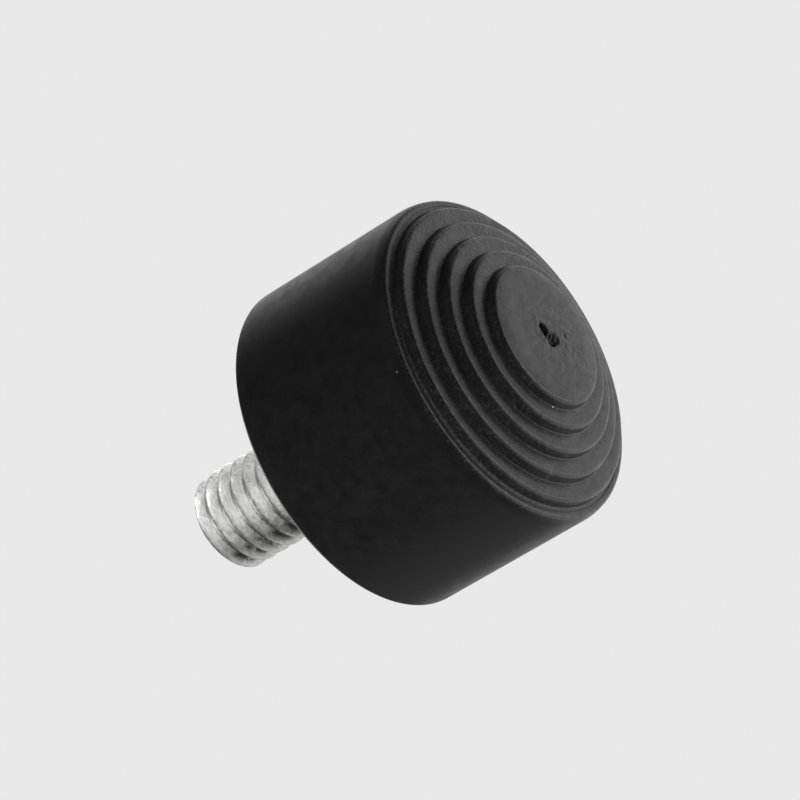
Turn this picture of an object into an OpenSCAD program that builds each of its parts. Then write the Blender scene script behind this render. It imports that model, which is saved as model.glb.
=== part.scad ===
// Rubber foot with a threaded steel stud. The rubber is moulded round the head of the stud,
// and the foot stands on the stepped dome of its tread with the stud pointing up.
// Millimetres, +Z up. The origin is the centre of the tread's middle disc, on the floor.

/* [Body] */
// Diameter of the rubber body
body_d = 31.75; // [29:0.05:38]
// Height of the rubber body, from the middle disc to the seat face
body_h = 23; // [21:0.5:30]
// Radius that rolls the tread over into the side
shoulder_r = 3.3; // [2:0.1:5]
// How far the outermost tread edge stands in from the side
lip_inset = 0.5; // [0.3:0.02:0.8]
// Rounding of the rim round the seat face
rim_r = 0.4; // [0.1:0.05:1.5]

/* [Tread] */
// Diameter of the middle disc, which meets the floor
disc_d = 13.7; // [10:0.1:15.5]
// Number of risers from the middle disc up to the shoulder
riser_count = 5; // [2:1:6]
// Height of each riser
riser_h = 0.97; // [0.6:0.01:1.3]
// Draft of each riser, in degrees off the axis
riser_draft = 20; // [5:1:30]
// Rounding of each tread edge
edge_r = 0.3; // [0.1:0.01:0.35]
// Fillet at the foot of each riser
root_r = 0.4; // [0.1:0.02:0.5]
// How far the mould's witness line, round the outermost level, stands in from the side
witness_inset = 0.98; // [0.9:0.02:1.2]
// Width of that line, which is half as deep as it is wide
witness_w = 0.28; // [0.1:0.02:0.4]

/* [Gate mark] */
// Diameter of the pit left by the moulding gate in the middle disc
gate_d = 1.9; // [1:0.1:3.5]
// Depth of that pit
gate_depth = 0.65; // [0.2:0.05:0.9]

/* [Stud] */
// Major diameter of the thread, a rolled 3/8-16 UNC
thread_d = 9.42; // [8.8:0.01:11]
// Length of thread that stands out of the seat face
thread_l = 16.6; // [9:0.1:28]
// How far below the seat face the full thread starts, so that the rubber closes round it
thread_sunk = 0.1; // [0.05:0.01:0.15]
// Chamfer at the tip of the thread
tip_chamfer = 0.65; // [0.2:0.05:1.2]
// Diameter of the plain shank inside the rubber
shank_d = 8.4; // [6:0.1:8.6]
// Length of the plain shank, from the head to the seat face
shank_l = 8.8; // [6:0.1:13]

/* [Stud head] */
// Width across the flats of the hexagon head inside the rubber
head_af = 14.29; // [11:0.01:18]
// Thickness of the head, with its washer face
head_t = 6; // [5:0.1:8]
// Thickness of the round washer face under the head
washer_face_t = 0.4; // [0.2:0.05:1]
// How far the washer face stands in from the flats
washer_face_inset = 0.35; // [0.1:0.05:1]
// Slope of the chamfer that takes off the head's corners, in degrees
head_chamfer = 30; // [15:1:40]
// Clearance between the rubber and the steel, nothing as the rubber is moulded on
bond_gap = 0; // [0:0.01:0.1]

/* [Hidden] */
$fn = 120;
arc_steps = 6;
body_r = body_d / 2;
disc_r = disc_d / 2;
thread_r = thread_d / 2;
level_pitch = (body_r - disc_r) / riser_count;
riser_run = riser_h * tan(riser_draft);
shoulder_z = riser_count * riser_h;
side_z = shoulder_z + sqrt(pow(shoulder_r, 2) - pow(shoulder_r - lip_inset, 2));
lip_z = shoulder_z + edge_r;
lip_reach = sqrt(pow(shoulder_r - edge_r, 2) - pow(side_z - lip_z, 2));
lip_angle = atan2(side_z - lip_z, lip_reach);
thread_z = body_h - thread_sunk;
blank_l = thread_sunk + thread_l;
head_z = body_h - shank_l - head_t;
head_corner_r = head_af / 2 / cos(30);
gate_ball_r = (pow(gate_d / 2, 2) + pow(gate_depth, 2)) / (2 * gate_depth);

// Points round part of a circle, in the plane of the section
function arc(centre, r, from, to) =
    [for (i = [0:arc_steps]) let (a = from + (to - from) * i / arc_steps)
        centre + r * [cos(a), sin(a)]];

// Radius at which level k of the tread drops away, and the height of that level
function edge_at(k) = disc_r + k * level_pitch;
function level_z(k) = k * riser_h;

// How far a rounding of radius r reaches along each side of a riser's corner
function corner_reach(r) = r * tan((90 - riser_draft) / 2);

// One riser: the rounded edge of level k, then the fillet at the riser's foot
function riser(k) = concat(
    arc([edge_at(k) - corner_reach(edge_r), level_z(k) + edge_r], edge_r, -90, -riser_draft),
    arc([edge_at(k) + riser_run + corner_reach(root_r), level_z(k + 1) - root_r],
        root_r, 180 - riser_draft, 90));

// Half section of the rubber: middle disc, risers, lip, shoulder, side, rim and seat face
function rubber_section() = concat(
    [[0, 0]],
    [for (k = [0:riser_count - 1]) each riser(k)],
    arc([body_r - shoulder_r + lip_reach, lip_z], edge_r, -90, -lip_angle),
    arc([body_r - shoulder_r, side_z], shoulder_r, -lip_angle, 0),
    arc([body_r - rim_r, body_h - rim_r], rim_r, 0, 90),
    [[0, body_h]]);

// Hexagon head and plain shank, the part of the stud that the rubber grips, grown by gap
module anchor(gap) {
    af = head_af + 2 * gap;
    corner_r = head_corner_r + gap / cos(30);
    bevel_h = (corner_r - af / 2) * tan(head_chamfer);
    hex_t = head_t - washer_face_t + gap;
    translate([0, 0, head_z - gap]) {
        intersection() {
            cylinder(r = corner_r, h = hex_t, $fn = 6);
            rotate_extrude()
                polygon([[0, 0], [af / 2, 0], [corner_r, bevel_h], [corner_r, hex_t], [0, hex_t]]);
        }
        cylinder(d = af - 2 * washer_face_inset, h = head_t + 2 * gap);
    }
    translate([0, 0, head_z + head_t])
        cylinder(d = shank_d + 2 * gap, h = shank_l);
}

module rubber_body() {
    color([0.11, 0.11, 0.11])
        difference() {
            rotate_extrude() polygon(rubber_section());
            anchor(bond_gap);
            translate([0, 0, thread_z - bond_gap])
                cylinder(r = thread_r + bond_gap, h = thread_sunk + bond_gap);
            translate([0, 0, gate_depth - gate_ball_r]) sphere(r = gate_ball_r);
            rotate_extrude() translate([body_r - witness_inset, shoulder_z]) circle(d = witness_w);
        }
}

module threaded_stud() {
    color([0.78, 0.78, 0.78]) {
        anchor(0);
        translate([0, 0, thread_z])
            rotate_extrude()
                polygon([[0, 0], [thread_r, 0], [thread_r, blank_l - tip_chamfer],
                         [thread_r - tip_chamfer, blank_l], [0, blank_l]]);
    }
}

rubber_body();
threaded_stud();
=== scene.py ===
import math
import bpy
import bmesh
from mathutils import Matrix, Vector, noise


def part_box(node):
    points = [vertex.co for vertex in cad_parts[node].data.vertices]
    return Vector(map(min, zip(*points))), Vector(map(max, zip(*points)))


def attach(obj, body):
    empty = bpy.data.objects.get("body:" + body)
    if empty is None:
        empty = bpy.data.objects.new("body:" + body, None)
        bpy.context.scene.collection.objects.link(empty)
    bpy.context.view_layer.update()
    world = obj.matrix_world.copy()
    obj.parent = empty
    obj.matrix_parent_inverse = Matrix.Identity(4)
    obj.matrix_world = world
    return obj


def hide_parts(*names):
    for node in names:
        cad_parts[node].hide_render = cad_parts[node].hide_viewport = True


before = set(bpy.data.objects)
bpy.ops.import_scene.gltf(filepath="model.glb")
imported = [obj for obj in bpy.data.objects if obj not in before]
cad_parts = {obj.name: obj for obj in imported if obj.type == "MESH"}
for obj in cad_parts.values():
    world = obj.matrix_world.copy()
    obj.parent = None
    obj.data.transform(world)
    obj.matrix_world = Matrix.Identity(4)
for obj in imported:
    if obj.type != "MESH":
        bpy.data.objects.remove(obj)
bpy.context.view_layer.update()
mm = 0.001
weldDistance = 1e-7              # points nearer than this are one point, in metres

# The solids' corners, in metres. The outer sizes below come from them, so they always fit.
bodyLow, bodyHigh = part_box("rubber_body")
studLow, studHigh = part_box("threaded_stud")

# Where the lens is: under the tread, and rolled so that the stud points down to the left
cameraSet = {
    "elevation": math.radians(-31.892),
    "roll": math.radians(-120.871),
    "distance": 5235,            # in pixels at the disc's scale, as the focal length is
    "pixelsPerMillimetre": 11.4,
    "discPixel": (547.69, 333.18),     # where the middle disc's centre lands in the frame
    "frameSide": 800,
    "sensor": 36,                # millimetres
    "clip": (0.01, 20),          # metres
}


# The directions that are right, up and towards the lens in its frame
def viewBasis():
    e, roll = cameraSet["elevation"], cameraSet["roll"]
    right = Vector((1, 0, 0))
    back = Vector((0, -math.cos(e), math.sin(e)))
    up = back.cross(right)
    turn = Matrix.Rotation(roll, 3, back)
    return turn @ right, turn @ up, back


def makeCamera():
    c = cameraSet
    viewRight, viewUp, viewBack = viewBasis()
    pixel = mm / c["pixelsPerMillimetre"]
    half = c["frameSide"] / 2
    discRight = (c["discPixel"][0] - half) * pixel
    discUp = (half - c["discPixel"][1]) * pixel
    data = bpy.data.cameras.new("camera")
    data.sensor_width = c["sensor"]
    data.lens = c["sensor"] * c["distance"] / c["frameSide"]
    data.clip_start, data.clip_end = c["clip"]
    camera = bpy.data.objects.new("camera", data)
    place = viewRight * -discRight + viewUp * -discUp + viewBack * (c["distance"] * pixel)
    axes = Matrix((viewRight, viewUp, viewBack)).transposed().to_4x4()
    camera.matrix_world = Matrix.Translation(place) @ axes
    bpy.context.scene.collection.objects.link(camera)
    bpy.context.scene.camera = camera


makeCamera()
print("camera placed")


# A socket takes a number, or a link where the value is another socket
def feed(tree, socket, value):
    if isinstance(value, bpy.types.NodeSocket):
        tree.links.new(value, socket)
    else:
        socket.default_value = value


def addNode(tree, kind, inputs=None, **settings):
    made = tree.nodes.new(kind)
    for name, value in settings.items():
        setattr(made, name, value)
    for name, value in (inputs or {}).items():
        feed(tree, made.inputs[name], value)
    return made


def mathNode(tree, operation, *values):
    made = addNode(tree, "ShaderNodeMath", operation=operation)
    for socket, value in zip(made.inputs, values):
        feed(tree, socket, value)
    return made.outputs[0]


def plus(tree, total, *others):
    for other in others:
        total = mathNode(tree, "ADD", total, other)
    return total


def minus(tree, value, other):
    return mathNode(tree, "SUBTRACT", value, other)


def times(tree, product, *others):
    for other in others:
        product = mathNode(tree, "MULTIPLY", product, other)
    return product


def over(tree, value, other):
    return mathNode(tree, "DIVIDE", value, other)


def fromAxis(tree, x, y):
    return mathNode(tree, "SQRT", plus(
        tree, mathNode(tree, "POWER", x, 2.0), mathNode(tree, "POWER", y, 2.0)))


# Takes a value over a reach from the first result to the second, and holds it beyond both
def mapRange(tree, value, reach, results, **settings):
    return addNode(tree, "ShaderNodeMapRange", {
        "Value": value, "From Min": reach[0], "From Max": reach[1],
        "To Min": results[0], "To Max": results[1]}, **settings).outputs[0]


def newTree(name, inputs):
    tree = bpy.data.node_groups.new(name, "GeometryNodeTree")
    tree.interface.new_socket("Geometry", in_out="INPUT", socket_type="NodeSocketGeometry")
    for label, kind, value in inputs:
        socket = tree.interface.new_socket(label, in_out="INPUT", socket_type=kind)
        if value is not None:
            socket.default_value = value
    tree.interface.new_socket("Geometry", in_out="OUTPUT", socket_type="NodeSocketGeometry")
    return tree, tree.nodes.new("NodeGroupInput"), tree.nodes.new("NodeGroupOutput")


# A grid of points, with the row and the column of each
def pointGrid(tree, rows, columns):
    grid = addNode(tree, "GeometryNodeMeshGrid", {
        "Size X": 1.0, "Size Y": 1.0, "Vertices X": rows, "Vertices Y": columns})
    index = addNode(tree, "GeometryNodeInputIndex").outputs[0]
    row = mathNode(tree, "FLOOR", over(tree, plus(tree, index, 0.5), columns))
    return grid.outputs["Mesh"], row, minus(tree, index, times(tree, row, columns))


# Wraps a grid round Z, and closes its seam and its poles
def wrapGrid(tree, grid, radius, turn, height):
    angle = times(tree, turn, 2 * math.pi)
    place = addNode(tree, "ShaderNodeCombineXYZ", {
        "X": times(tree, radius, mathNode(tree, "COSINE", angle)),
        "Y": times(tree, radius, mathNode(tree, "SINE", angle)),
        "Z": height})
    wrapped = addNode(tree, "GeometryNodeSetPosition", {
        "Geometry": grid, "Position": place.outputs[0]})
    return addNode(tree, "GeometryNodeMergeByDistance", {
        "Geometry": wrapped.outputs["Geometry"], "Distance": weldDistance}).outputs["Geometry"]


# The end of a tree: what it made is made real, gets its material and goes out
def endTree(tree, geometry, material, out):
    real = addNode(tree, "GeometryNodeRealizeInstances", {"Geometry": geometry})
    painted = addNode(tree, "GeometryNodeSetMaterial", {
        "Geometry": real.outputs["Geometry"], "Material": material})
    tree.links.new(painted.outputs["Geometry"], out.inputs["Geometry"])


# Runs a tree on a mesh, and gives back the result as a plain mesh
def runTree(tree, start, values, name):
    holder = bpy.data.objects.new(name + "Start", start)
    bpy.context.scene.collection.objects.link(holder)
    modifier = holder.modifiers.new("nodes", "NODES")
    modifier.node_group = tree
    for item in tree.interface.items_tree:
        if item.item_type == "SOCKET" and item.in_out == "INPUT" and item.name in values:
            modifier[item.identifier] = values[item.name]
    bpy.context.view_layer.update()
    graph = bpy.context.evaluated_depsgraph_get()
    mesh = bpy.data.meshes.new_from_object(holder.evaluated_get(graph), depsgraph=graph)
    holder.modifiers.remove(modifier)
    bpy.data.objects.remove(holder)
    mesh.name = name
    return mesh


# Joins meshes by their shared rims, points the faces outwards and links the piece
def closedPiece(name, meshes, material, sharpAngle):
    work = bmesh.new()
    for mesh in meshes:
        work.from_mesh(mesh)
    bmesh.ops.remove_doubles(work, verts=work.verts, dist=2 * weldDistance)
    bmesh.ops.dissolve_degenerate(work, edges=work.edges, dist=weldDistance)
    bmesh.ops.recalc_face_normals(work, faces=work.faces)
    openEdges = [edge for edge in work.edges if len(edge.link_faces) != 2]
    print(name, "faces", len(work.faces), "open edges", len(openEdges))
    made = bpy.data.meshes.new(name)
    work.to_mesh(made)
    work.free()
    made.materials.clear()
    made.materials.append(material)
    made.shade_smooth()
    made.set_sharp_from_angle(angle=sharpAngle)
    piece = bpy.data.objects.new(name, made)
    bpy.context.scene.collection.objects.link(piece)
    return piece


def newMaterial(name):
    material = bpy.data.materials.new(name)
    material.use_nodes = True
    tree = material.node_tree
    return material, tree, tree.nodes["Principled BSDF"]


def cloud(tree, place, scale, detail, distortion=0.0):
    return addNode(tree, "ShaderNodeTexNoise", {
        "Vector": place, "Scale": scale, "Detail": detail,
        "Distortion": distortion}).outputs["Fac"]


# A soft spot: its middle and half sizes in millimetres, and its turn round Z in degrees
def spotMask(tree, place, middle, sizes, turn):
    inside = addNode(tree, "ShaderNodeMapping", {
        "Vector": place, "Location": Vector(middle) * mm,
        "Rotation": (0, 0, math.radians(turn)), "Scale": Vector(sizes) * mm},
        vector_type="TEXTURE")
    off = addNode(tree, "ShaderNodeVectorMath", {"Vector": inside.outputs["Vector"]},
                  operation="LENGTH")
    return mapRange(tree, off.outputs["Value"], (1.0, 0.5), (0.0, 1.0))


# Lengths are in metres here, as Object coordinates are, but for those marked in millimetres
rubberSet = {
    "tone": (0.0065, 0.0105),
    "toneReach": (0.3, 0.75),
    "roughness": (0.36, 0.47),
    "roughReach": (0.3, 0.7),
    "cloudStretch": (1.0, 0.55, 1.0),  # the clouds are longer across the tread
    "mottleScale": 900.0,        # soft clouds, about a millimetre across
    "mottleDetail": 4.0,
    "mottleHeight": 0.00009,
    "grainScale": 4600.0,        # the mould's fine texture
    "grainDetail": 3.0,
    "grainHeight": 0.000022,
    "grainShare": (0.25, 1.8),   # less of it on the middle disc than round it
    "discReach": (0.0064, 0.0072),
    "grainLean": (0.55, 1.55),   # the grain is coarser towards +X
    "leanReach": (-0.004, 0.006),
    "sideShare": 0.22,           # how much of clouds and grain is left on the smooth side
    "sideReach": (0.0045, 0.0065),
    "flowScale": 1500.0,         # where the rubber flowed in round the gate
    "flowDetail": 3.0,
    "flowSwirl": 0.6,
    "flowHeight": 0.00016,
    "flowCentre": (-0.0012, 0.0008),
    "flowReach": (0.00192, 0.0048),
    "speckScale": 520.0,
    "speckless": 0.93,           # the share of the cells that have no speck
    "speckSize": 0.05,
    "speckTone": 0.16,
    "gritTone": 0.022,           # pale grit in the tread's grain
    "gritReach": (0.5, 0.68),
    "edgeHighlightTone": 0.09,            # painted highlight: a thin pale line along each level's edge
    "edgeHighlightInset": 0.3,            # millimetres
    "edgeHighlightWidth": (0.00003, 0.00012),
    "edgeHighlightScale": 2600.0,         # the noise that breaks the lines up
    "edgeHighlightDetail": 2.0,
    "edgeHighlightReach": (0.36, 0.64),
    "edgeHighlightShare": (0.3, 1.0),
    "treadMarkStart": 0.006,          # no painted edge highlight and no grit nearer to the axis than this
    "treadTop": (0.0051, 0.0053),
    "highlightWay": (-0.4, -0.92),     # the side where the painted edge highlights are brightest
    "highlightWayReach": (0.5, 0.95),
    "highlightWayShare": (0.12, 1.0),
    "footHighlightInset": -0.5,           # millimetres: a fainter painted highlight line, just past each riser's foot
    "footHighlightTone": 0.45,
    "lipHighlights": (14.72, 15.4),    # millimetres: painted highlight lines beside the last riser, and on the lip
}
# Dust on the tread, and a scratch across one riser: middle, half sizes, turn in degrees, tone
dustSet = [
    ((-5.75, -4.12, 0.97), (0.1, 0.1, 0.1), 0, 0.75),
    ((6.37, -10.85, 2.95), (0.1, 0.1, 0.1), 0, 0.12),
    ((4.62, -4.2, 0.08), (0.08, 0.08, 0.08), 0, 0.2),
    ((-1.76, -10.04, 1.94), (0.1, 0.1, 0.1), 0, 0.1),
    ((-10.57, -6.6, 3.4), (0.7, 0.05, 1.0), 32, 0.12),
]


def makeRubber():
    r = rubberSet
    material, tree, shader = newMaterial("mouldedRubber")
    place = addNode(tree, "ShaderNodeTexCoord").outputs["Object"]
    spot = addNode(tree, "ShaderNodeSeparateXYZ", {"Vector": place}).outputs
    radius = fromAxis(tree, spot["X"], spot["Y"])
    stretched = addNode(tree, "ShaderNodeMapping", {
        "Vector": place, "Scale": r["cloudStretch"]}).outputs["Vector"]
    grain = cloud(tree, stretched, r["grainScale"], r["grainDetail"])
    mottle = cloud(tree, stretched, r["mottleScale"], r["mottleDetail"])
    flow = cloud(tree, stretched, r["flowScale"], r["flowDetail"], r["flowSwirl"])
    tone = mapRange(tree, mottle, r["toneReach"], r["tone"])
    # A few tiny pale specks, in some of the cells only
    cell = addNode(tree, "ShaderNodeTexVoronoi", {"Vector": place, "Scale": r["speckScale"]})
    draw = addNode(tree, "ShaderNodeSeparateColor", {"Color": cell.outputs["Color"]})
    chosen = mathNode(tree, "GREATER_THAN", draw.outputs["Red"], r["speckless"])
    near = mathNode(tree, "LESS_THAN", cell.outputs["Distance"], r["speckSize"])
    tone = plus(tree, tone, times(tree, chosen, near, r["speckTone"]))
    for middle, sizes, turn, dustTone in dustSet:
        dust = times(tree, spotMask(tree, place, middle, sizes, turn), dustTone)
        tone = plus(tree, tone, dust)
    # Painted highlights: thin pale lines round the levels' edges and the lip, broken up by a noise
    # and brightest on one side
    spacing = bodySet["levelSpacing"] * mm

    # A line at the same place of every level, so far inside its edge
    def levelLine(inset):
        edge = (bodySet["discRadius"] - inset) * mm
        steps = over(tree, minus(tree, radius, edge), spacing)
        beside = minus(tree, mathNode(tree, "FRACT", plus(tree, steps, 0.5)), 0.5)
        away = times(tree, mathNode(tree, "ABSOLUTE", beside), spacing)
        return mapRange(tree, away, r["edgeHighlightWidth"], (1.0, 0.0))

    highlightLines = mathNode(tree, "MAXIMUM", levelLine(r["edgeHighlightInset"]),
                     times(tree, levelLine(r["footHighlightInset"]), r["footHighlightTone"]))
    for ring in r["lipHighlights"]:
        away = mathNode(tree, "ABSOLUTE", minus(tree, radius, ring * mm))
        line = mapRange(tree, away, r["edgeHighlightWidth"], (1.0, 0.0))
        highlightLines = mathNode(tree, "MAXIMUM", highlightLines, line)
    broken = cloud(tree, place, r["edgeHighlightScale"], r["edgeHighlightDetail"])
    patches = mapRange(tree, broken, r["edgeHighlightReach"], r["edgeHighlightShare"])
    along = plus(tree, times(tree, spot["X"], r["highlightWay"][0]),
                 times(tree, spot["Y"], r["highlightWay"][1]))
    litSide = mapRange(tree, over(tree, along, radius), r["highlightWayReach"], r["highlightWayShare"])
    onTread = times(tree, mapRange(tree, spot["Z"], r["treadTop"], (1.0, 0.0)),
                    mathNode(tree, "GREATER_THAN", radius, r["treadMarkStart"]))
    tone = plus(tree, tone, times(tree, highlightLines, patches, onTread, litSide, r["edgeHighlightTone"]))
    grit = mapRange(tree, grain, r["gritReach"], (0.0, r["gritTone"]))
    tone = plus(tree, tone, times(tree, grit, onTread))
    grey = addNode(tree, "ShaderNodeCombineColor", {"Red": tone, "Green": tone, "Blue": tone})
    tree.links.new(grey.outputs["Color"], shader.inputs["Base Color"])
    feed(tree, shader.inputs["Roughness"], mapRange(tree, mottle, r["roughReach"], r["roughness"]))
    # The heights of the clouds and the grain fade from the tread to the side
    share = mapRange(tree, spot["Z"], r["sideReach"], (1.0, r["sideShare"]))
    grainShare = times(tree, mapRange(tree, radius, r["discReach"], r["grainShare"]),
                       mapRange(tree, spot["X"], r["leanReach"], r["grainLean"]))
    height = times(tree, share, plus(tree, times(tree, mottle, r["mottleHeight"]),
                                     times(tree, grain, grainShare, r["grainHeight"])))
    toGate = fromAxis(tree, minus(tree, spot["X"], r["flowCentre"][0]),
                      minus(tree, spot["Y"], r["flowCentre"][1]))
    nearGate = mapRange(tree, toGate, r["flowReach"], (1.0, 0.0))
    bump = addNode(tree, "ShaderNodeBump", {
        "Height": plus(tree, height, times(tree, flow, nearGate, r["flowHeight"])),
        "Distance": 1.0})
    tree.links.new(bump.outputs["Normal"], shader.inputs["Normal"])
    return material


# Lengths are in metres here too
steelSet = {
    "tone": (0.6, 0.8),
    "toneReach": (0.35, 0.65),
    "blueShare": 0.985,          # a little warmer than grey
    "darkSideShare": 0.55,             # what is left of the tone on the -X side, where it is darker
    "darkSideReach": (-0.0012, -0.0036),
    # Painted shade: dark patches in the grooves, for the shade in them and the dark they mirror
    "grooveShadeTone": 0.06,
    "grooveShadeScale": 700.0,
    "grooveShadeDetail": 3.0,
    "grooveShadeReach": (0.4, 0.5),
    "grooveShadeShare": (0.35, 1.0),
    "grooveRadii": (0.0041, 0.0045),   # painted shade: dark patches lie at the bottom of the grooves,
    "grooveShadeSide": (-0.0023, -0.0029),   # mostly on the -X side,
    "asideShare": (0.15, 1.0),
    "grooveShadeFront": (-0.0002, -0.0012),  # only at the front,
    "grooveShadeTop": (0.0387, 0.0391),      # and not on the tip
    "roughness": (0.32, 0.5),
    "roughReach": (0.35, 0.65),
    "streakStretch": (1.0, 1.0, 5.0),  # streaks lie round the thread, as rolling dies leave them
    "streakScale": 1700.0,
    "streakDetail": 4.0,
    "streakHeight": 0.00002,
    "grainScale": 4200.0,
    "grainDetail": 3.0,
    "grainHeight": 0.00002,
}


def makeSteel():
    s = steelSet
    material, tree, shader = newMaterial("zincPlate")
    place = addNode(tree, "ShaderNodeTexCoord").outputs["Object"]
    spot = addNode(tree, "ShaderNodeSeparateXYZ", {"Vector": place}).outputs
    stretched = addNode(tree, "ShaderNodeMapping", {
        "Vector": place, "Scale": s["streakStretch"]}).outputs["Vector"]
    streak = cloud(tree, stretched, s["streakScale"], s["streakDetail"])
    grain = cloud(tree, place, s["grainScale"], s["grainDetail"])
    plating = times(tree, mapRange(tree, streak, s["toneReach"], s["tone"]),
                    mapRange(tree, spot["X"], s["darkSideReach"], (1.0, s["darkSideShare"])))
    # Painted shade: dark patches at the bottom of the grooves, at the front and towards -X
    patches = cloud(tree, place, s["grooveShadeScale"], s["grooveShadeDetail"])
    radius = fromAxis(tree, spot["X"], spot["Y"])
    grooveShade = times(tree, mapRange(tree, patches, s["grooveShadeReach"], s["grooveShadeShare"]),
                  mapRange(tree, radius, s["grooveRadii"], (1.0, 0.0)),
                  mapRange(tree, spot["X"], s["grooveShadeSide"], s["asideShare"]),
                  mapRange(tree, spot["Y"], s["grooveShadeFront"], (0.0, 1.0)),
                  mapRange(tree, spot["Z"], s["grooveShadeTop"], (1.0, 0.0)))
    tone = addNode(tree, "ShaderNodeMix", {
        "Factor": grooveShade, "A": plating, "B": s["grooveShadeTone"]}).outputs["Result"]
    grey = addNode(tree, "ShaderNodeCombineColor", {
        "Red": tone, "Green": tone, "Blue": times(tree, tone, s["blueShare"])})
    tree.links.new(grey.outputs["Color"], shader.inputs["Base Color"])
    shader.inputs["Metallic"].default_value = 1.0
    feed(tree, shader.inputs["Roughness"], mapRange(tree, grain, s["roughReach"], s["roughness"]))
    wide = addNode(tree, "ShaderNodeBump", {"Height": streak, "Distance": s["streakHeight"]})
    fine = addNode(tree, "ShaderNodeBump", {
        "Height": grain, "Distance": s["grainHeight"], "Normal": wide.outputs["Normal"]})
    tree.links.new(fine.outputs["Normal"], shader.inputs["Normal"])
    return material


# The pieces' sizes are in millimetres. The head and shank are hidden in the rubber, and they also
# shape the cavity that grips them.
headSet = {
    "bottom": studLow.z / mm,
    "acrossFlats": 14.29,
    "thickness": 6.0,
    "washerThickness": 0.4,
    "washerInset": 0.35,
    "chamfer": math.radians(30),
    "chamferSteps": 4,
    "shankRadius": 4.2,
}


# Hexagon head and shank, closed at the head's end and open at the top
def anchorMesh(segments, top):
    h = headSet
    sixth = math.radians(60)
    flat = h["acrossFlats"] / 2
    corner = flat / math.cos(sixth / 2)
    bevel = (corner - flat) * math.tan(h["chamfer"])
    hexTop = h["thickness"] - h["washerThickness"]
    washer = flat - h["washerInset"]

    def hexAt(angle):
        return flat / math.cos((angle % sixth) - sixth / 2)

    # Each ring is a height above the head's end and a limit on the hexagon's radius
    steps = h["chamferSteps"]
    rings = [(bevel * i / steps, flat + (corner - flat) * i / steps) for i in range(steps + 1)]
    rings += [(hexTop, corner), (hexTop, washer), (h["thickness"], washer),
              (h["thickness"], h["shankRadius"]), (top - h["bottom"], h["shankRadius"])]
    work = bmesh.new()
    rows = []
    for height, limit in rings:
        row = []
        for i in range(segments):
            angle = 2 * math.pi * i / segments
            radius = min(limit, hexAt(angle)) * mm
            z = (h["bottom"] + height) * mm
            row.append(work.verts.new((radius * math.cos(angle), radius * math.sin(angle), z)))
        rows.append(row)
    work.faces.new(list(reversed(rows[0])))
    for low, high in zip(rows, rows[1:]):
        for i in range(segments):
            j = (i + 1) % segments
            work.faces.new((low[i], low[j], high[j], high[i]))
    mesh = bpy.data.meshes.new("anchor")
    work.to_mesh(mesh)
    work.free()
    return mesh


bodySet = {
    "radius": min(bodyHigh.x, -bodyLow.x, bodyHigh.y, -bodyLow.y) / mm,
    "height": bodyHigh.z / mm,
    "discRadius": 6.84,
    "levelSpacing": 1.91,
    "riserCount": 5,
    "riserHeight": 0.985,
    "riserDraft": math.radians(10),
    "edgeRadius": 0.42,
    "rootRadius": 0.12,
    "crown": 0.11,               # how far the disc falls away before its edge
    "crownWidth": 1.9,
    "crownPower": 2.2,
    "bulge": 0.035,              # how far the middle of each other level stands out
    "lipInset": 0.3,
    "lipRadius": 0.4,
    "shoulderRadius": 3.3,
    "rimRadius": 0.4,
    "witnessInset": 0.94,        # faint line left by the mould insert, on the outermost level
    "witnessWidth": 0.24,
    "witnessDepth": 0.05,
    "mouthRadius": 3.75,         # where the rubber closes into the thread's grooves
    "mouthDepth": 0.3,
    "segments": 360,
    "discSteps": 6,
    "levelSteps": 7,
    "arcSteps": 8,
    "shoulderSteps": 12,
    "sideSteps": 12,
    "seatSteps": 10,
    "waviness": 0.012,           # the tread's surface isn't quite even
    "waveScale": 700.0,
    "waveStart": 0.15,
    "waveEnd": 5.5,              # in risers up from the disc
    "waveSeed": 3.0,
    "sharpAngle": math.radians(35),
}
rubberMaterial = makeRubber()
steelMaterial = makeSteel()
print("materials made")

# The torn mark of the mould's gate, in the middle of the disc
gateSet = {
    "patchRadius": 2.7,
    "slot": ((0.72, -0.14), (-0.85, -0.2)),     # the deep slot, from end to end
    "slotWidth": 0.36,
    "slotWall": 0.36,
    "depth": 0.8,
    "side": (-0.66, 0.42),       # the torn side, which rises away from the slot
    "sideRadii": (0.62, 0.85),
    "sideWall": 0.4,
    "sideDepth": 0.62,
    "slope": (-0.25, 1.25),
    "slopeLimit": 0.95,
    "ragged": 0.06,
    "tearScales": (2.3, 5.1),    # two noises, the finer one weaker
    "fineShare": 0.4,
    "floorScale": 3.5,           # unevenness of the pit's floor
    "floorShare": 0.2,
    "seeds": (11.0, 15.0, 20.0),       # of the two tears and the floor
    "dent": (-0.96, 2.3),
    "dentRadius": 0.45,
    "dentDepth": 0.07,
    "swirl": 0.02,               # shallow marks that wind out from the gate
    "swirlTwist": 0.7,
    "swirlScales": (2.4, 3.1),   # round the gate, and outwards
    "swirlLevel": 0.6,
    "swirlFade": 0.5,
}


def smooth(low, high, value):
    t = min(max((value - low) / (high - low), 0), 1)
    return t * t * (3 - 2 * t)


# Points round part of a circle, in the plane of the section
def arc(centre, radius, start, end, steps):
    turn = [start + (end - start) * i / steps for i in range(steps + 1)]
    return [(centre[0] + radius * math.cos(a), centre[1] + radius * math.sin(a)) for a in turn]


def levelEdge(level):
    return bodySet["discRadius"] + level * bodySet["levelSpacing"]


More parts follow.
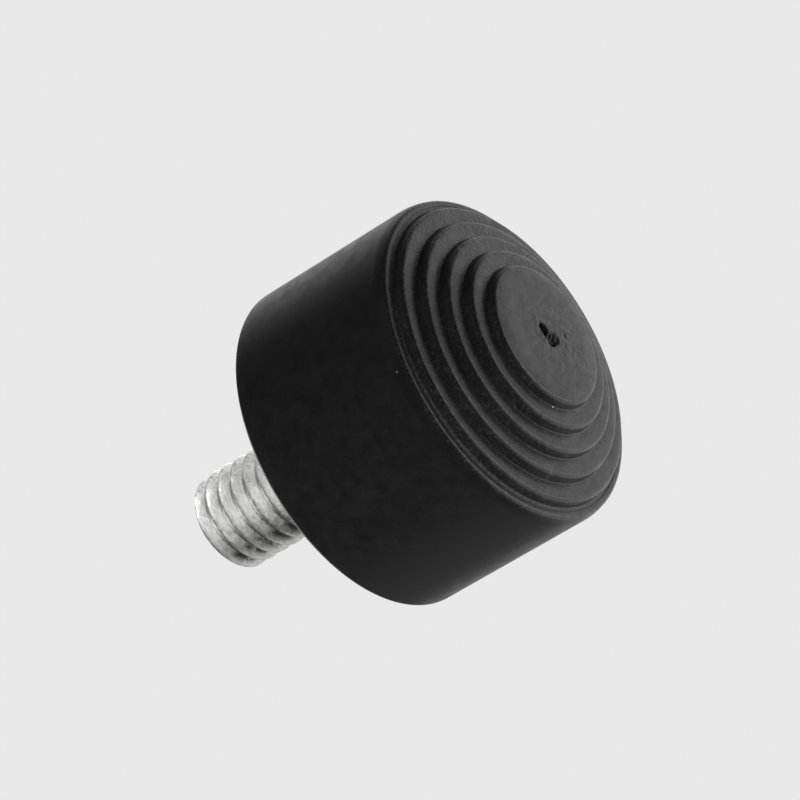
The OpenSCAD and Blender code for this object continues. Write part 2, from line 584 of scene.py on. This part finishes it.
# A level, from its foot out to its rounded edge. The disc falls away before its edge, and each
# other level bulges.
def levelPoints(start, level):
    b = bodySet
    lean = b["riserDraft"]
    end = levelEdge(level) - b["edgeRadius"] * math.tan((math.pi / 2 - lean) / 2)
    floorZ = level * b["riserHeight"]
    shares = [i / b["levelSteps"] for i in range(b["levelSteps"])]
    if level == 0:
        start, fall, power = end - b["crownWidth"], b["crown"], b["crownPower"]
        points = [(start + (end - start) * t, fall * t ** power) for t in shares]
        tilt = math.atan(power * fall / (end - start))
    else:
        fall, rise = 0, b["bulge"] * 4
        points = [(start + (end - start) * t, floorZ - rise * t * (1 - t)) for t in shares]
        tilt = math.atan(rise / (end - start))
    centre = (end - b["edgeRadius"] * math.sin(tilt),
              floorZ + fall + b["edgeRadius"] * math.cos(tilt))
    return points + arc(centre, b["edgeRadius"], tilt - math.pi / 2, -lean, b["arcSteps"])


def rootPoints(level):
    b = bodySet
    run = b["riserHeight"] * math.tan(b["riserDraft"])
    reach = b["rootRadius"] * math.tan((math.pi / 2 - b["riserDraft"]) / 2)
    centre = (levelEdge(level) + run + reach, (level + 1) * b["riserHeight"] - b["rootRadius"])
    return arc(centre, b["rootRadius"], math.pi - b["riserDraft"], math.pi / 2, b["arcSteps"])


# Half section of the skin, from the gate patch out to the side, the seat face and the stud's mouth
def sectionPoints():
    b = bodySet
    patch = gateSet["patchRadius"]
    spread = b["discSteps"]
    inner = b["discRadius"] - b["crownWidth"] - b["edgeRadius"]      # where the disc is still flat
    points = [(patch + (inner - patch) * i / spread, 0) for i in range(spread)]
    for level in range(b["riserCount"]):
        points += levelPoints(points[-1][0], level)
        points += rootPoints(level)
    floorZ = b["riserCount"] * b["riserHeight"]
    half = b["witnessWidth"] / 2
    line = arc((b["radius"] - b["witnessInset"], floorZ), half, math.pi, 0, b["arcSteps"])
    points += [(r, floorZ + (z - floorZ) * b["witnessDepth"] / half) for r, z in line]
    roll, lip, rim = b["shoulderRadius"], b["lipRadius"], b["rimRadius"]
    sideZ = floorZ + math.sqrt(roll ** 2 - (roll - b["lipInset"]) ** 2)
    lipZ = floorZ + lip
    reach = math.sqrt((roll - lip) ** 2 - (sideZ - lipZ) ** 2)
    lean = math.atan2(sideZ - lipZ, reach)
    points += arc((b["radius"] - roll + reach, lipZ), lip, -math.pi / 2, -lean, b["arcSteps"])
    points += arc((b["radius"] - roll, sideZ), roll, -lean, 0, b["shoulderSteps"])
    run = b["height"] - rim - sideZ
    points += [(b["radius"], sideZ + run * i / b["sideSteps"]) for i in range(1, b["sideSteps"])]
    outer = b["radius"] - rim
    points += arc((outer, b["height"] - rim), rim, 0, math.pi / 2, b["arcSteps"])
    points += [(outer + (b["mouthRadius"] - outer) * i / b["seatSteps"], b["height"])
               for i in range(1, b["seatSteps"] + 1)]
    points.append((headSet["shankRadius"], b["height"] - b["mouthDepth"]))
    return points


def sectionMesh():
    points = sectionPoints()
    mesh = bpy.data.meshes.new("section")
    edges = [(i, i + 1) for i in range(len(points) - 1)]
    mesh.from_pydata([(r * mm, 0, z * mm) for r, z in points], edges, [])
    return mesh


# Turns a half section round Z: each row of a grid takes its radius and height from one point of
# it. Then the skin gets slight waves from Wave Start up to Wave End.
def latheTree():
    tree, given, out = newTree("turnSection", [
        ("Segments", "NodeSocketInt", 120),
        ("Waviness", "NodeSocketFloat", 0.0),
        ("Wave Scale", "NodeSocketFloat", 700.0),
        ("Wave Start", "NodeSocketFloat", 0.0),
        ("Wave End", "NodeSocketFloat", 0.01),
        ("Seed", "NodeSocketFloat", 1.0),
        ("Material", "NodeSocketMaterial", None)])
    side = given.outputs
    count = addNode(tree, "GeometryNodeAttributeDomainSize", {"Geometry": side["Geometry"]})
    grid, row, column = pointGrid(tree, count.outputs["Point Count"],
                                  plus(tree, side["Segments"], 1))
    position = addNode(tree, "GeometryNodeInputPosition").outputs[0]
    sample = addNode(tree, "GeometryNodeSampleIndex", {"Geometry": side["Geometry"]},
                     data_type="FLOAT_VECTOR")
    tree.links.new(position, [s for s in sample.inputs if s.name == "Value" and s.enabled][0])
    tree.links.new(row, sample.inputs["Index"])
    point = addNode(tree, "ShaderNodeSeparateXYZ", {
        "Vector": [s for s in sample.outputs if s.enabled][0]}).outputs
    turned = wrapGrid(tree, grid, point["X"], over(tree, column, side["Segments"]), point["Z"])
    ripple = addNode(tree, "ShaderNodeTexNoise", {
        "Vector": position, "W": side["Seed"], "Scale": side["Wave Scale"], "Detail": 2.0},
        noise_dimensions="4D")
    height = addNode(tree, "ShaderNodeSeparateXYZ", {"Vector": position}).outputs["Z"]
    waveFull = times(tree, side["Wave Start"], 3)
    waveFade = times(tree, side["Wave End"], 0.9)
    reach = times(tree, mapRange(tree, height, (side["Wave Start"], waveFull), (0.0, 1.0)),
                  mapRange(tree, height, (waveFade, side["Wave End"]), (1.0, 0.0)))
    push = times(tree, minus(tree, ripple.outputs["Fac"], 0.5),
                 times(tree, side["Waviness"], reach))
    offset = addNode(tree, "ShaderNodeVectorMath", operation="SCALE")
    feed(tree, offset.inputs[0], addNode(tree, "GeometryNodeInputNormal").outputs[0])
    feed(tree, offset.inputs["Scale"], push)
    wavy = addNode(tree, "GeometryNodeSetPosition", {
        "Geometry": turned, "Offset": offset.outputs[0]})
    endTree(tree, wavy.outputs["Geometry"], side["Material"], out)
    return tree


# How deep the torn gate mark is at a point of the disc
def gateDepth(x, y):
    g = gateSet

    def noiseAt(scale, seed):
        return noise.noise(Vector((x * scale, y * scale, seed)))

    wide, fine = g["tearScales"]
    tear = noiseAt(wide, g["seeds"][0]) + g["fineShare"] * noiseAt(fine, g["seeds"][1])
    start, end = Vector(g["slot"][0]), Vector(g["slot"][1])
    fromStart = Vector((x, y)) - start
    share = min(max(fromStart.dot(end - start) / (end - start).length_squared, 0), 1)
    toSlot = (fromStart - (end - start) * share).length - g["slotWidth"] + g["ragged"] * tear
    slot = smooth(g["slotWall"] / 2, -g["slotWall"] / 2, toSlot)
    across = math.hypot((x - g["side"][0]) / g["sideRadii"][0],
                        (y - g["side"][1]) / g["sideRadii"][1])
    toSide = (across - 1) * min(g["sideRadii"]) + g["ragged"] * tear
    torn = smooth(g["sideWall"] / 2, -g["sideWall"] / 2, toSide)
    low, high = g["slope"]
    rise = min(max((y - low) / (high - low), 0), g["slopeLimit"])
    rough = 1 + g["floorShare"] * noiseAt(g["floorScale"], g["seeds"][2])
    pit = max(g["depth"] * slot, g["sideDepth"] * torn * (1 - rise)) * rough
    dent = smooth(g["dentRadius"], 0, math.hypot(x - g["dent"][0], y - g["dent"][1]))
    radius = math.hypot(x, y)
    turn = math.atan2(y, x) + radius * g["swirlTwist"]
    around, outward = g["swirlScales"]
    marks = noise.noise(Vector((math.cos(turn) * around, math.sin(turn) * around,
                                radius * outward)))
    fade = smooth(g["patchRadius"], g["patchRadius"] * g["swirlFade"], radius)
    swirl = g["swirl"] * fade * max(g["swirlLevel"] + marks, 0)
    return pit + g["dentDepth"] * dent + swirl


# A round patch of square cells, whose rim meets the skin's first ring point for point
def gatePatch():
    cells = bodySet["segments"] // 4
    work = bmesh.new()
    grid = []
    for i in range(cells + 1):
        row = []
        for j in range(cells + 1):
            a, b = 2 * i / cells - 1, 2 * j / cells - 1
            if abs(a) > abs(b):
                radius, angle = a, math.pi / 4 * b / a
            else:
                radius, angle = b, math.pi / 2 - (math.pi / 4 * a / b if b else 0)
            x = radius * gateSet["patchRadius"] * math.cos(angle)
            y = radius * gateSet["patchRadius"] * math.sin(angle)
            onRim = i in (0, cells) or j in (0, cells)
            z = 0 if onRim else gateDepth(x, y)
            row.append(work.verts.new((x * mm, y * mm, z * mm)))
        grid.append(row)
    for i in range(cells):
        for j in range(cells):
            work.faces.new((grid[i][j], grid[i + 1][j], grid[i + 1][j + 1], grid[i][j + 1]))
    mesh = bpy.data.meshes.new("gatePatch")
    work.to_mesh(mesh)
    work.free()
    return mesh


def makeBody():
    b = bodySet
    skin = runTree(latheTree(), sectionMesh(), {
        "Segments": b["segments"], "Waviness": b["waviness"] * mm,
        "Wave Scale": b["waveScale"], "Wave Start": b["waveStart"] * mm,
        "Wave End": b["waveEnd"] * b["riserHeight"] * mm, "Seed": b["waveSeed"],
        "Material": rubberMaterial}, "bodySkin")
    cavity = anchorMesh(b["segments"], b["height"] - b["mouthDepth"])
    return closedPiece("rubberBody", [skin, gatePatch(), cavity], rubberMaterial, b["sharpAngle"])


body = makeBody()
print("rubber body made")

studSet = {
    "majorRadius": 4.71,
    "pitch": 25.4 / 16,
    "depth": 0.96,
    "flankSlope": math.tan(math.radians(60)),
    "crestHalf": 0.06,           # half a crest's flat, before its rounding
    "crestRounding": 0.42,
    "rootRounding": 0.1,
    "tipChamfer": 0.65,
    "tip": studHigh.z / mm - 0.0002,   # just under the solid's
    "base": bodyHigh.z / mm - 0.1,     # the full thread starts just inside the rubber
    "phase": 0.33,               # in turns
    "segments": 200,
    "rows": 360,
    "sharpAngle": math.radians(28),
}


# A grid wrapped round Z. Each row's radius follows the thread form, and the last row closes the
# tip on the axis. The first row is the neck, where the thread meets the shank.
def threadTree():
    tree, given, out = newTree("rollThread", [
        ("Segments", "NodeSocketInt", 120),
        ("Rows", "NodeSocketInt", 200),
        ("Base", "NodeSocketFloat", 0.0),
        ("Tip", "NodeSocketFloat", 0.01),
        ("Neck Radius", "NodeSocketFloat", 0.003),
        ("Major Radius", "NodeSocketFloat", 0.004),
        ("Pitch", "NodeSocketFloat", 0.001),
        ("Depth", "NodeSocketFloat", 0.0006),
        ("Flank Slope", "NodeSocketFloat", 1.7),
        ("Crest Half", "NodeSocketFloat", 0.0001),
        ("Crest Rounding", "NodeSocketFloat", 0.0003),
        ("Root Rounding", "NodeSocketFloat", 0.0001),
        ("Tip Chamfer", "NodeSocketFloat", 0.0005),
        ("Phase", "NodeSocketFloat", 0.0),
        ("Material", "NodeSocketMaterial", None)])
    side = given.outputs
    grid, row, column = pointGrid(tree, plus(tree, side["Rows"], 3),
                                  plus(tree, side["Segments"], 1))
    turn = over(tree, column, side["Segments"])
    share = over(tree, minus(tree, row, 1), side["Rows"])
    clamped = addNode(tree, "ShaderNodeClamp", {"Value": share}).outputs[0]
    length = minus(tree, side["Tip"], side["Base"])
    z = plus(tree, side["Base"], times(tree, clamped, length))
    # How far each point is beside the nearest crest, and how deep the thread is there
    lag = minus(tree, minus(tree, over(tree, z, side["Pitch"]), turn), side["Phase"])
    off = mathNode(tree, "ABSOLUTE", minus(tree, mathNode(tree, "FRACT", lag), 0.5))
    beside = times(tree, off, side["Pitch"])
    flank = times(tree, minus(tree, beside, side["Crest Half"]), side["Flank Slope"])
    crest = mathNode(tree, "SMOOTH_MAX", flank, 0.0, side["Crest Rounding"])
    cut = mathNode(tree, "SMOOTH_MIN", crest, side["Depth"], side["Root Rounding"])
    bevel = plus(tree, minus(tree, side["Tip"], z),
                 minus(tree, side["Major Radius"], side["Tip Chamfer"]))
    radius = mathNode(tree, "MINIMUM", minus(tree, side["Major Radius"], cut), bevel)
    isNeck = mathNode(tree, "LESS_THAN", row, 0.5)
    isCentre = mathNode(tree, "GREATER_THAN", row, plus(tree, side["Rows"], 1.5))
    withNeck = addNode(tree, "ShaderNodeMix", {
        "Factor": isNeck, "A": radius, "B": side["Neck Radius"]}).outputs["Result"]
    withCentre = times(tree, withNeck, minus(tree, 1.0, isCentre))
    endTree(tree, wrapGrid(tree, grid, withCentre, turn, z), side["Material"], out)
    return tree


def makeStud():
    s = studSet
    # Rounding takes a little off the crests, and this puts it back
    k = s["crestRounding"]
    lost = k / 4 * max(1 - s["crestHalf"] * s["flankSlope"] / k, 0) ** 2
    start = bpy.data.meshes.new("empty")
    thread = runTree(threadTree(), start, {
        "Segments": s["segments"], "Rows": s["rows"],
        "Base": s["base"] * mm, "Tip": s["tip"] * mm,
        "Neck Radius": headSet["shankRadius"] * mm, "Major Radius": (s["majorRadius"] + lost) * mm,
        "Pitch": s["pitch"] * mm, "Depth": s["depth"] * mm, "Flank Slope": s["flankSlope"],
        "Crest Half": s["crestHalf"] * mm, "Crest Rounding": s["crestRounding"] * mm,
        "Root Rounding": s["rootRounding"] * mm, "Tip Chamfer": s["tipChamfer"] * mm,
        "Phase": s["phase"], "Material": steelMaterial}, "thread")
    anchor = anchorMesh(s["segments"], s["base"])
    return closedPiece("threadedStud", [thread, anchor], steelMaterial, s["sharpAngle"])


stud = makeStud()
print("stud made")

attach(body, "root")
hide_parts("rubber_body")
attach(stud, "root")
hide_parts("threaded_stud")

floorSet = {
    "radius": 2.0,               # metres
    "segments": 64,
    "drop": 0.02,                # millimetres, just clear of the tread's flat disc
    "tone": 0.9,
    "roughness": 0.8,
}


# The floor can be seen from above only, so that it doesn't hide the tread from below
def makeFloor():
    f = floorSet
    work = bmesh.new()
    bmesh.ops.create_circle(work, cap_ends=True, radius=f["radius"], segments=f["segments"],
                            matrix=Matrix.Translation((0, 0, -f["drop"] * mm)))
    mesh = bpy.data.meshes.new("floor")
    work.to_mesh(mesh)
    work.free()
    floor = bpy.data.objects.new("floor", mesh)
    bpy.context.scene.collection.objects.link(floor)
    material, tree, shader = newMaterial("paleFloor")
    shader.inputs["Base Color"].default_value = (f["tone"], f["tone"], f["tone"], 1)
    shader.inputs["Roughness"].default_value = f["roughness"]
    clear = addNode(tree, "ShaderNodeBsdfTransparent")
    fromBelow = addNode(tree, "ShaderNodeNewGeometry").outputs["Backfacing"]
    mix = addNode(tree, "ShaderNodeMixShader", {"Fac": fromBelow})
    tree.links.new(shader.outputs[0], mix.inputs[1])
    tree.links.new(clear.outputs[0], mix.inputs[2])
    tree.links.new(mix.outputs[0], tree.nodes["Material Output"].inputs["Surface"])
    mesh.materials.append(material)
    floor.visible_diffuse = False
    floor.visible_glossy = False
    floor.visible_shadow = False
    return floor


# Soft round lamps, with their sizes in metres. A level is what a white face turned to the lamp
# would show, with 1 as white.
lampSet = {
    "top": {"way": (0, 0, 1), "size": 0.4, "level": 0.5, "offStud": True},
    "fill": {"way": (-0.4, -0.85, -0.1), "size": 0.6, "level": 0.85, "softOnly": True},
    "side": {"way": (-0.75, 0.1, 0.7), "size": 0.4, "level": 0.03},
    "edge": {"way": (0.8, -0.5, 0), "size": 0.4, "level": 0.03},
    "studBelow": {"way": (0.4, 0, -0.9), "size": 0.6, "level": 1.82, "studOnly": True},
    "studSide": {"way": (0.58, 0.6, 0.52), "size": 0.74, "level": 0.52, "studOnly": True},
    "studFront": {"way": (0.15, -0.85, 0.45), "size": 0.46, "level": 0.3, "studOnly": True},
}
lampDistance = 0.5               # metres from the origin


def collectionOf(name, *things):
    made = bpy.data.collections.new(name)
    for thing in things:
        made.objects.link(thing)
    return made


# A studOnly lamp shows in the stud's plating and not in the rubber, and nothing shades it. An
# offStud lamp leaves the stud out, whose end would mirror it as plain white. A softOnly lamp
# lights what it reaches, and no surface mirrors it.
def makeLamps(floor):
    litStud, noShade = collectionOf("litStud", stud), collectionOf("noShade", floor)
    litRest = collectionOf("litRest", body, floor)
    for name, given in lampSet.items():
        data = bpy.data.lights.new(name, "AREA")
        data.shape = "DISK"
        data.size = given["size"]
        data.energy = given["level"] * (math.pi * lampDistance) ** 2
        lamp = bpy.data.objects.new(name, data)
        lamp.location = Vector(given["way"]).normalized() * lampDistance
        lamp.rotation_mode = "QUATERNION"
        lamp.rotation_quaternion = (-lamp.location).to_track_quat("-Z", "Y")
        lamp.visible_camera = False
        lamp.visible_glossy = not given.get("softOnly")
        if given.get("studOnly"):
            lamp.light_linking.receiver_collection = litStud
            lamp.light_linking.blocker_collection = noShade
        elif given.get("offStud"):
            lamp.light_linking.receiver_collection = litRest
        bpy.context.scene.collection.objects.link(lamp)


# A pale room that is brightest behind and a little under the foot, and shaded in front
worldSet = {
    "backdrop": 0.81,            # the level that the lens sees
    "ambient": 0.81,             # the level that lights the foot
    "brightWay": (-0.32, 0.95, -0.2),
    "skew": 0.95,                # the bright part leans to one side, the lower it is
    "shade": (0.085, 1.65),      # where it is dimmest and brightest
    "shadeReach": (0.2, 0.95),
}


def makeWorld():
    w = worldSet
    world = bpy.data.worlds.new("studio")
    bpy.context.scene.world = world
    world.use_nodes = True
    tree = world.node_tree
    shader = tree.nodes["Background"]
    way = addNode(tree, "ShaderNodeTexCoord").outputs["Generated"]
    facing = addNode(tree, "ShaderNodeVectorMath", operation="DOT_PRODUCT")
    feed(tree, facing.inputs[0], way)
    feed(tree, facing.inputs[1], Vector(w["brightWay"]).normalized())
    axes = addNode(tree, "ShaderNodeSeparateXYZ", {"Vector": way}).outputs
    lean = times(tree, axes["X"], axes["Z"], w["skew"])
    shade = mapRange(tree, plus(tree, facing.outputs["Value"], lean), w["shadeReach"],
                     w["shade"], interpolation_type="SMOOTHSTEP")
    # The lens sees the backdrop's level, straight or mirrored, and the shade only mirrored
    ray = addNode(tree, "ShaderNodeLightPath").outputs
    mirrored = mathNode(tree, "MAXIMUM", ray["Is Glossy Ray"], ray["Is Transmission Ray"])
    seen = mathNode(tree, "MAXIMUM", ray["Is Camera Ray"], mirrored)
    level = addNode(tree, "ShaderNodeMix", {
        "Factor": seen, "A": w["ambient"], "B": w["backdrop"]}).outputs["Result"]
    plain = addNode(tree, "ShaderNodeMix", {
        "Factor": ray["Is Camera Ray"], "A": shade, "B": 1.0}).outputs["Result"]
    shader.inputs["Color"].default_value = (1, 1, 1, 1)
    feed(tree, shader.inputs["Strength"], times(tree, level, plain))


makeLamps(makeFloor())
makeWorld()
bpy.context.scene.view_settings.view_transform = "Standard"
print("stage made")
